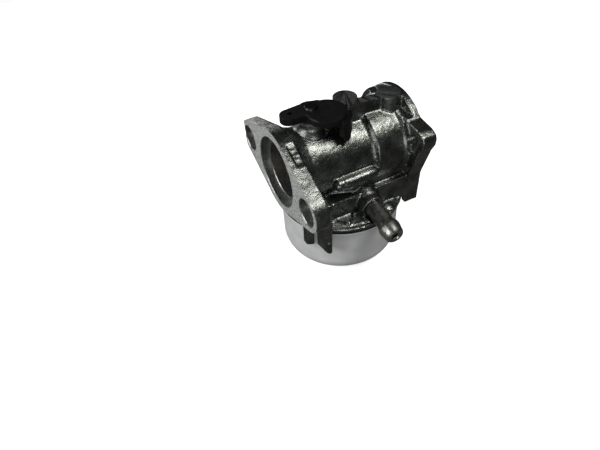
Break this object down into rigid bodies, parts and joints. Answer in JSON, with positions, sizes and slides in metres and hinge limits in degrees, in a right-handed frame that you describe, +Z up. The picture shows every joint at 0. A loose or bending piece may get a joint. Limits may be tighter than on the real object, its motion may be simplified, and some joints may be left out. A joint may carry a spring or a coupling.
{
  "type": "carburetor",
  "caption": "Small-engine float-bowl carburetor: cast body with engine and air-cleaner flanges, throttle lever on top, barbed fuel inlet, round bowl below.",
  "frame": {"origin": "middle of the footprint, on the plane that the bowl stands on", "axes": "+X along the bore from the engine flange to the air-cleaner flange, +Z up, fuel inlet towards -Y"},
  "size_m": [0.0562, 0.0708, 0.0723],
  "materials": {
    "cast_aluminium": "die cast, sand-textured, satin on machined faces",
    "stamped_steel": "satin zinc",
    "turned_steel": "turned, dulled",
    "plated_steel": "zinc plated",
    "brass": "turned",
    "black_nylon": "satin moulded",
    "black_rubber": "matt",
    "fibre": "pressed fibre",
    "float_foam": "closed-cell foam"
  },
  "bodies": {
    "housing": {"carburetor_body": "cast_aluminium", "float_bowl": "stamped_steel", "bowl_gasket": "black_rubber", "bowl_bolt": "plated_steel", "bowl_bolt_washer": "fibre", "throttle_shaft_seal": "black_rubber", "fuel_inlet_nipple": "turned_steel", "inlet_seat": "black_rubber", "float_hinge_pin": "turned_steel", "main_nozzle": "brass", "nozzle_o_ring": "black_rubber", "main_jet": "brass", "idle_jet": "brass", "air_bleed_jet": "brass", "idle_port_plug": "stamped_steel", "passage_plug_front": "stamped_steel", "passage_plug_far": "stamped_steel"},
    "throttle": {"throttle_shaft": "turned_steel", "throttle_lever": "black_nylon", "throttle_plate": "brass", "throttle_plate_screw": "plated_steel"},
    "float": {"float": "float_foam"},
    "needle": {"inlet_needle": "plated_steel"}
  },
  "joints": [
    {"name": "throttle_turn", "type": "hinge", "parent": "housing", "child": "throttle", "pos_m": [-0.01175, 0.00437, 0.048], "axis": [0, 0, 1], "range_deg": [-70, 0]},
    {"name": "float_hinge", "type": "hinge", "parent": "housing", "child": "float", "pos_m": [0.00365, -0.01513, 0.0215], "axis": [1, 0, 0], "range_deg": [0, 8]},
    {"name": "needle_lift", "type": "slide", "parent": "housing", "child": "needle", "axis": [0, 0, 1], "range_m": [0, 0.00063]}
  ],
  "couplings": [
    {"joint": "needle_lift", "follows": "float_hinge", "m_per_rad": 0.0045}
  ]
}
